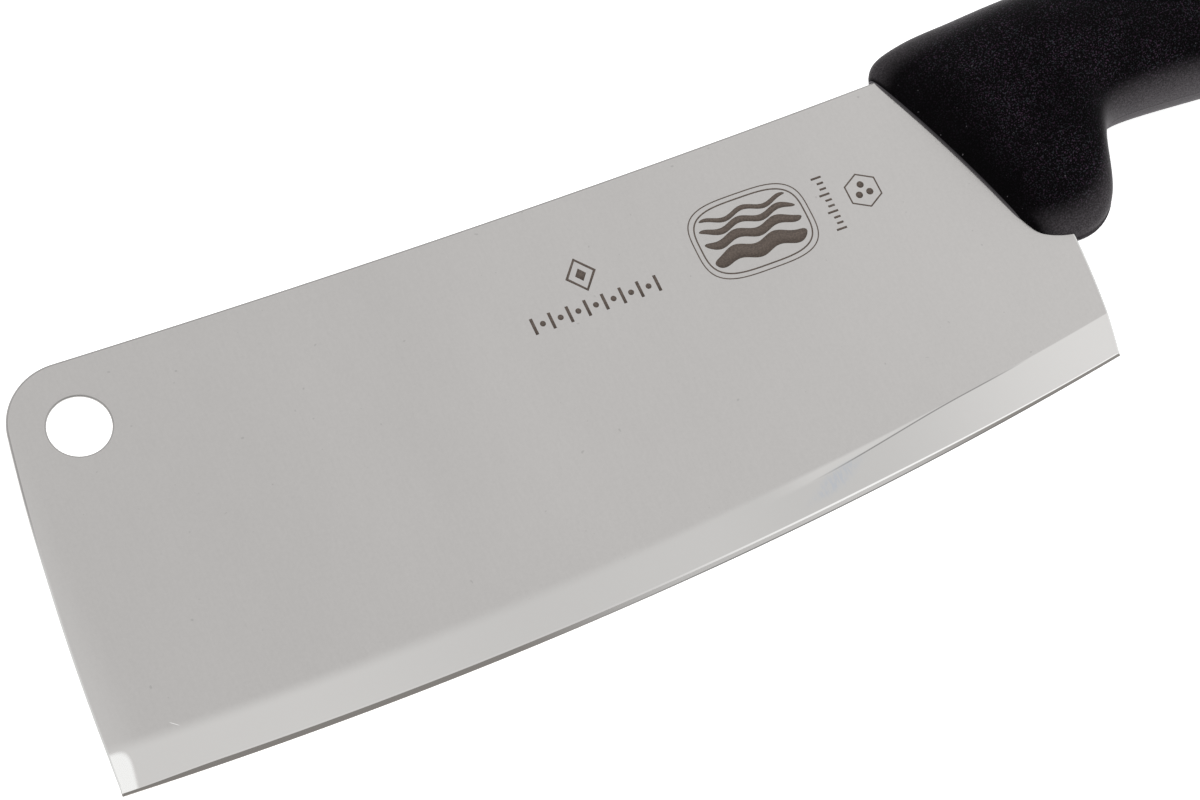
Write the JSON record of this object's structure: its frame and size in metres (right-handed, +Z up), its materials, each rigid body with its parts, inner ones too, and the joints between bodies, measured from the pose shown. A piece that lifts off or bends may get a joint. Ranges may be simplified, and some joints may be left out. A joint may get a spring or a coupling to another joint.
{
  "type": "meat cleaver",
  "caption": "Rectangular chopping knife with a gently curved ground edge, a hanging hole at the front corner and a moulded grip with a finger guard.",
  "frame": {"origin": "centre of the bounding box, on the lowest face of the handle as the cleaver lies on its side", "axes": "+X from the blade's front to the butt of the handle, +Y from the cutting edge to the spine, +Z up, square to the blade's flat"},
  "size_m": [0.3048, 0.0788, 0.0237],
  "materials": {
    "blade_steel": "satin ground stainless steel",
    "handle_plastic": "fine pebbled matte black"
  },
  "bodies": {
    "root": {"blade_and_tang": "blade_steel", "handle": "handle_plastic"}
  },
  "joints": []
}
